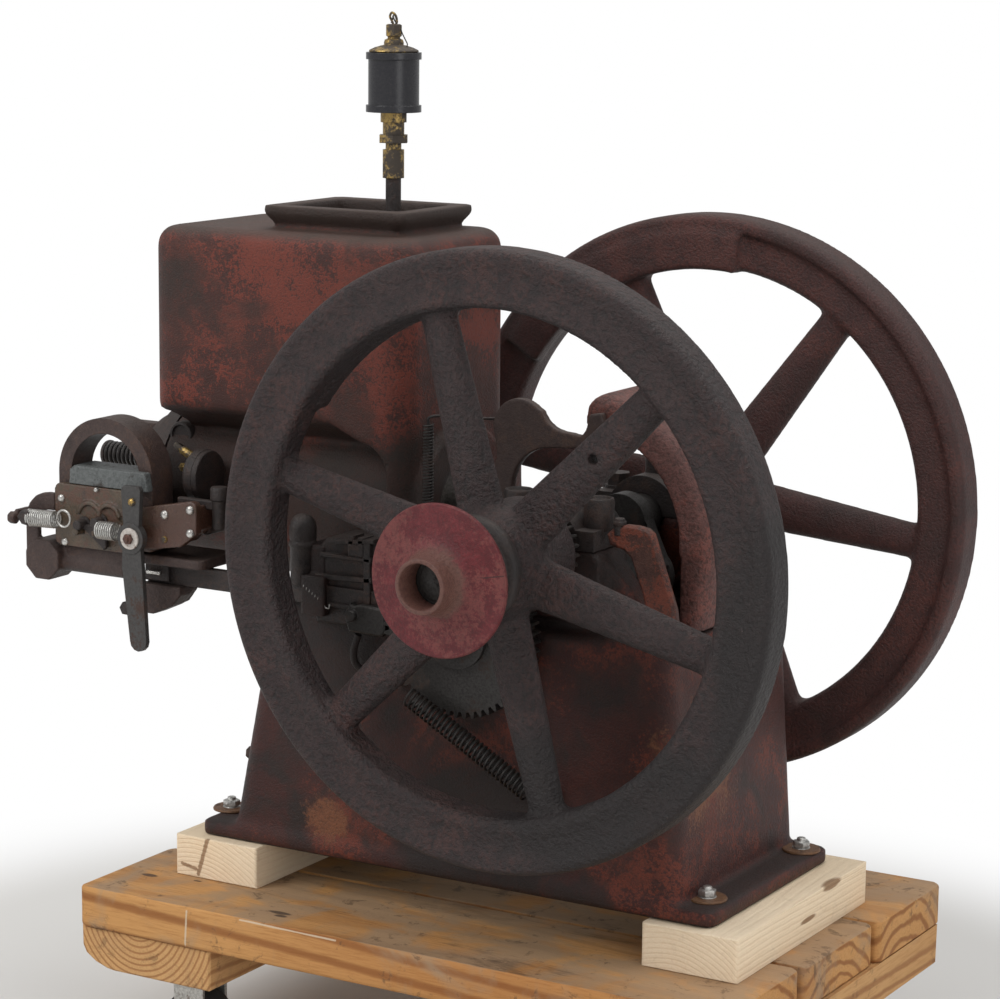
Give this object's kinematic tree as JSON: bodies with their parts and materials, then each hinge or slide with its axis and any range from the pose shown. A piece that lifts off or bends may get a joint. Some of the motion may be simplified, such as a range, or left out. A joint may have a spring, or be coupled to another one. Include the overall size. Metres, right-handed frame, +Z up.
{
  "type": "stationary gas engine",
  "caption": "Old red hopper-cooled gas engine with spoked flywheels and a belt pulley on a plank dolly.",
  "frame": {"origin": "bottom centre of the whole box, at the casters' contact plane", "axes": "+Z up; +Y along the crankshaft from the belt pulley to the far flywheel; +X from the cylinder head to the crank"},
  "size_m": [0.79, 0.56, 0.9369],
  "materials": {
    "deck_wood": "rough sawn, weathered",
    "bearer_wood": "rough sawn, weathered",
    "pale_wood": "fresh planed softwood",
    "caster_steel": "zinc plated, dull",
    "caster_rubber": "matt",
    "red_paint": "old red paint with rust",
    "faded_paint": "faded red paint",
    "pulley_paint": "worn red paint",
    "dark_iron": "oily, dark",
    "rusty_iron": "brown rust",
    "wheel_iron": "worn paint over rust",
    "bare_steel": "dull, stained",
    "dark_steel": "oily",
    "bronze": "dull bronze casting",
    "old_brass": "tarnished",
    "grey_zinc": "dull cast",
    "black_cup": "black, glossy in places"
  },
  "bodies": {
    "frame": {"deck_planks": "deck_wood", "bearers": "bearer_wood", "casters": "caster_steel", "caster_wheels": "caster_rubber", "mount_blocks": "pale_wood", "bed": "red_paint", "hopper": "red_paint", "cylinder_head": "dark_iron", "near_bearing_cap": "rusty_iron", "far_bearing_cap": "rusty_iron", "crank_guard": "faded_paint", "guard_bracket": "dark_iron", "piston": "bare_steel", "cam_stud": "bare_steel", "push_rod": "dark_iron", "rod_guide": "red_paint", "trip_spring": "dark_steel", "magneto_bracket": "dark_iron", "magneto_body": "bronze", "magneto_cover": "grey_zinc", "magneto_magnet": "rusty_iron", "magneto_springs": "bare_steel", "rocker_arm": "rusty_iron", "valve_springs": "dark_steel", "priming_cup": "old_brass", "oiler_pipe": "rusty_iron", "oiler_sight": "old_brass", "oiler_cup": "black_cup", "oiler_cap": "old_brass"},
    "crank": {"crankshaft": "bare_steel", "near_flywheel": "wheel_iron", "far_flywheel": "wheel_iron", "belt_pulley": "pulley_paint", "crank_gear": "dark_steel", "big_end": "dark_iron"},
    "cam": {"cam_gear": "dark_steel"},
    "lever": {"hand_lever": "bare_steel"}
  },
  "joints": [
    {"name": "crank_spin", "type": "hinge", "parent": "frame", "child": "crank", "pos_m": [0.138, 0.029, 0.5], "axis": [0, 1, 0], "continuous": true},
    {"name": "cam_spin", "type": "hinge", "parent": "frame", "child": "cam", "pos_m": [0.06662, -0.09, 0.42072], "axis": [0, 1, 0], "continuous": true},
    {"name": "lever_swing", "type": "hinge", "parent": "frame", "child": "lever", "pos_m": [-0.254, -0.132, 0.473], "axis": [0, 1, 0], "range_deg": [-25, 25], "stiffness_Nm_per_rad": 2}
  ],
  "couplings": [
    {"joint": "cam_spin", "follows": "crank_spin", "ratio": -0.5}
  ]
}
